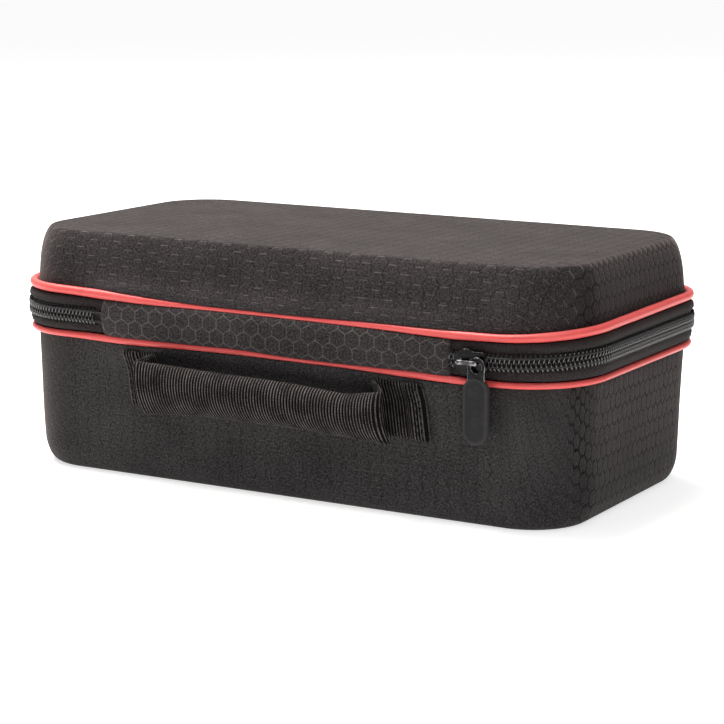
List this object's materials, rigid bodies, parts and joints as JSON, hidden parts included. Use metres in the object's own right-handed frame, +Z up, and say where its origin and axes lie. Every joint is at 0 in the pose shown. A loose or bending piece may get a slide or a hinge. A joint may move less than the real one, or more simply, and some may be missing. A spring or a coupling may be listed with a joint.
{
  "type": "console carrying case",
  "caption": "Hard two-shell zip case for a games console, with a fabric hinge band, red piping, a zip with a rubber pull and a webbing handle.",
  "frame": {"origin": "centre of the flat underside of the base shell, on the surface the case stands on", "axes": "+X to the right along the length, +Y away from the hinge and handle side, +Z up"},
  "size_m": [0.3278, 0.191, 0.1244],
  "materials": {
    "shell_fabric": "woven jacquard over moulded foam, matt",
    "piping": "smooth satin",
    "zip_tape": "twill tape",
    "zip_coil": "moulded coil, satin",
    "zip_chain": "twill tape with closed coil",
    "band_fabric": "woven jacquard, foam backed",
    "slider_metal": "black nickel, worn bright at the edges",
    "grip_rubber": "soft matt rubber",
    "webbing": "ribbed webbing",
    "divider_fabric": "brushed loop fabric over foam",
    "pocket_net": "open net",
    "elastic": "elastic binding"
  },
  "bodies": {
    "base": {"base_shell": "shell_fabric", "base_piping": "piping", "base_zipper_tape": "zip_tape", "base_zipper_coil": "zip_coil", "zipper_chain_end": "zip_chain", "hinge_band": "band_fabric", "handle_strap": "webbing", "long_divider": "divider_fabric", "cross_divider_left": "divider_fabric", "cross_divider_right": "divider_fabric"},
    "lid": {"lid_shell": "shell_fabric", "lid_piping": "piping", "lid_zipper_tape": "zip_tape", "lid_zipper_coil": "zip_coil", "lid_pocket_net": "pocket_net", "pocket_binding": "elastic"},
    "slider": {"zipper_slider": "slider_metal"},
    "pull": {"slider_puller": "slider_metal", "rubber_pull": "grip_rubber"}
  },
  "joints": [
    {"name": "lid_hinge", "type": "hinge", "parent": "base", "child": "lid", "pos_m": [0, -0.0869, 0.0813], "axis": [1, 0, 0], "range_deg": [0, 115], "deforming": ["hinge_band", "zipper_chain_end"]},
    {"name": "slider_slide", "type": "slide", "parent": "base", "child": "slider", "axis": [1, 0, 0], "range_m": [0, 0.012]},
    {"name": "pull_swing", "type": "hinge", "parent": "slider", "child": "pull", "pos_m": [0.11635, -0.09, 0.0806], "axis": [0, 1, 0], "range_deg": [-60, 30]}
  ]
}
